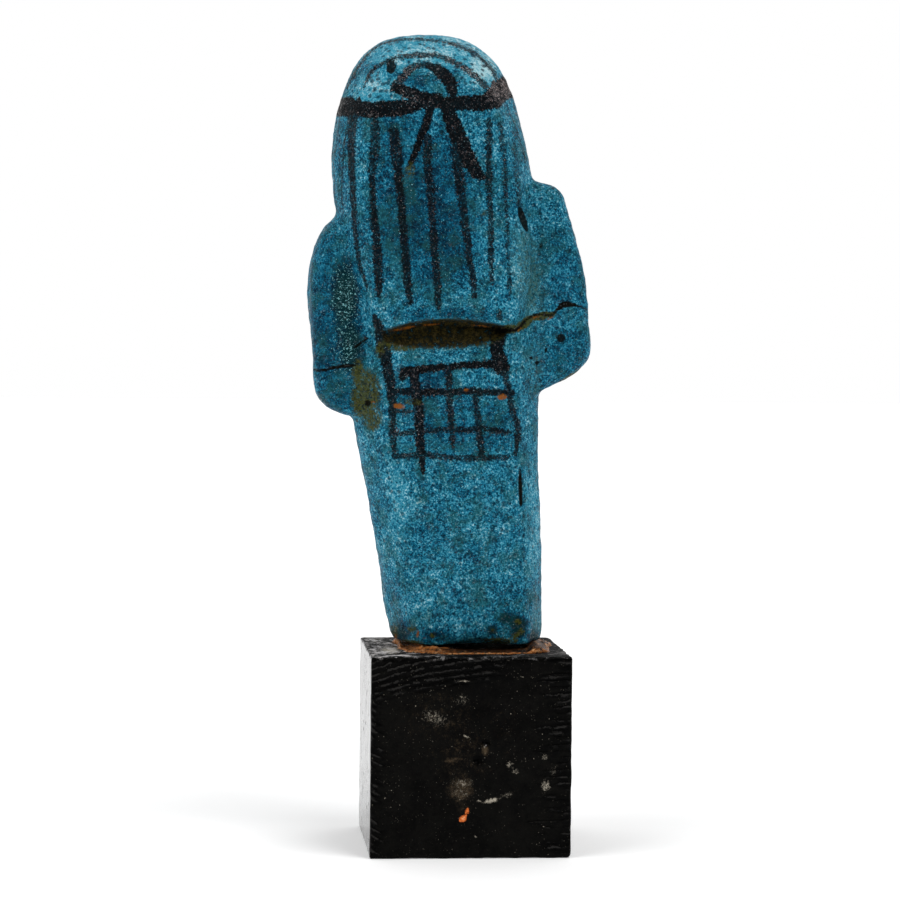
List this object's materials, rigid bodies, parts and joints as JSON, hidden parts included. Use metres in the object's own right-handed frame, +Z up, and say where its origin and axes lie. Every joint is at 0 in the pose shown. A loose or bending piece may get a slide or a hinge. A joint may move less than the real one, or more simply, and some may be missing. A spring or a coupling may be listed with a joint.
{
  "type": "faience shabti on a wooden block",
  "caption": "Small moulded blue faience funerary figure with painted wig stripes and seed bag, glued upright on a blackened wooden block.",
  "frame": {"origin": "centre of the block's underside", "axes": "+Z up along the figure; the figure faces -Y and its painted back faces +Y; +X is the figure's own left"},
  "size_m": [0.0501, 0.0352, 0.1439],
  "materials": {
    "blue_faience": "turquoise blue Egyptian faience, worn glaze with dark and pale specks, painted black details",
    "old_glue": "dried orange-brown glue, half glossy and dusty",
    "blackened_wood": "black stained and polished hardwood with fine saw marks and small chips"
  },
  "bodies": {
    "root": {"shabti_figure": "blue_faience", "glue_bed": "old_glue", "wooden_block": "blackened_wood"}
  },
  "joints": []
}
